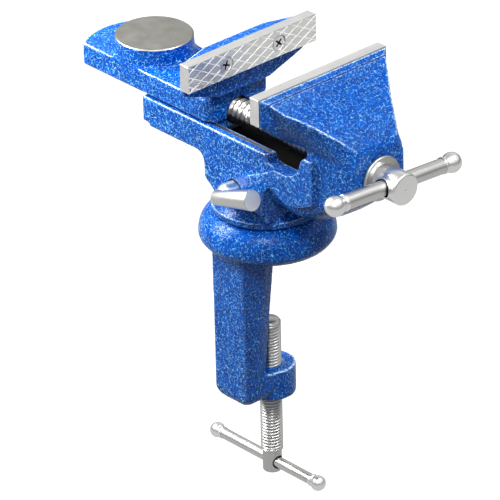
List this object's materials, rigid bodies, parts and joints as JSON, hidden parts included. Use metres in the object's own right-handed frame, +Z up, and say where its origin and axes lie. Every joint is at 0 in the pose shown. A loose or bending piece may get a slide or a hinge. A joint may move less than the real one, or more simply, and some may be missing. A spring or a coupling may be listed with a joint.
{
  "type": "bench vise",
  "caption": "Small clamp-on swivel bench vise: cast head on a round base with a C-frame table clamp, sliding rear jaw with anvil, screw spindle and sliding bars.",
  "frame": {"origin": "on the swivel axis, in the underside of the round base, where it meets the table top", "axes": "+Z up along the swivel axis; -Y to the front, where the spindle handle is; +Y to the rear, where the anvil is; +X to the right seen from the front, the open side of the table clamp"},
  "size_m": [0.0776, 0.1944, 0.2109],
  "materials": {
    "blue_hammertone": "glossy hammertone enamel over cast iron, with a fine light speckle",
    "machined_steel": "satin ground steel",
    "zinc_plated_steel": "bright zinc plating with fine turning marks",
    "oiled_steel": "oiled machined steel",
    "bronze": "machined bronze"
  },
  "bodies": {
    "clamp_frame": {"clamp_base": "blue_hammertone"},
    "head": {"vise_body": "blue_hammertone", "front_jaw_plate": "machined_steel", "front_jaw_screws": "zinc_plated_steel"},
    "slide_jaw": {"moving_jaw": "blue_hammertone", "rear_jaw_plate": "machined_steel", "rear_jaw_screws": "zinc_plated_steel", "spindle_nut": "bronze", "keeper_plate": "machined_steel", "keeper_screws": "zinc_plated_steel"},
    "spindle_unit": {"spindle": "oiled_steel", "spindle_collar": "zinc_plated_steel", "retaining_washer": "zinc_plated_steel", "retaining_ring": "oiled_steel"},
    "spindle_handle": {"spindle_bar": "zinc_plated_steel", "spindle_bar_knob_left": "zinc_plated_steel", "spindle_bar_knob_right": "zinc_plated_steel"},
    "swivel_lock": {"lock_screw": "zinc_plated_steel", "lock_bar": "zinc_plated_steel"},
    "clamp_spindle": {"clamp_screw": "zinc_plated_steel"},
    "clamp_handle": {"clamp_bar": "zinc_plated_steel", "clamp_bar_knob_front": "zinc_plated_steel", "clamp_bar_knob_rear": "zinc_plated_steel"}
  },
  "joints": [
    {"name": "head_swivel", "type": "hinge", "parent": "clamp_frame", "child": "head", "pos_m": [0, 0, 0.0157], "axis": [0, 0, 1], "continuous": true},
    {"name": "spindle_turn", "type": "hinge", "parent": "head", "child": "spindle_unit", "pos_m": [0, -0.0804, 0.05565], "axis": [0, 1, 0], "range_deg": [-1945, 4633]},
    {"name": "jaw_slide", "type": "slide", "parent": "head", "child": "slide_jaw", "axis": [0, -1, 0], "range_m": [-0.0162, 0.0386]},
    {"name": "spindle_bar_slide", "type": "slide", "parent": "spindle_unit", "child": "spindle_handle", "axis": [0.9982, 0, -0.0593], "range_m": [-0.0209, 0.0209]},
    {"name": "lock_turn", "type": "hinge", "parent": "head", "child": "swivel_lock", "pos_m": [-0.0284, 0, 0.0294], "axis": [1, 0, 0], "range_deg": [-165, 25]},
    {"name": "clamp_travel", "type": "slide", "parent": "clamp_frame", "child": "clamp_spindle", "axis": [0, 0, 1], "range_m": [-0.02, 0.028]},
    {"name": "clamp_bar_slide", "type": "slide", "parent": "clamp_spindle", "child": "clamp_handle", "axis": [0, 1, 0], "range_m": [-0.0275, 0.021]}
  ],
  "couplings": [
    {"joint": "spindle_turn", "follows": "jaw_slide", "rad_per_m": 2094.4}
  ]
}
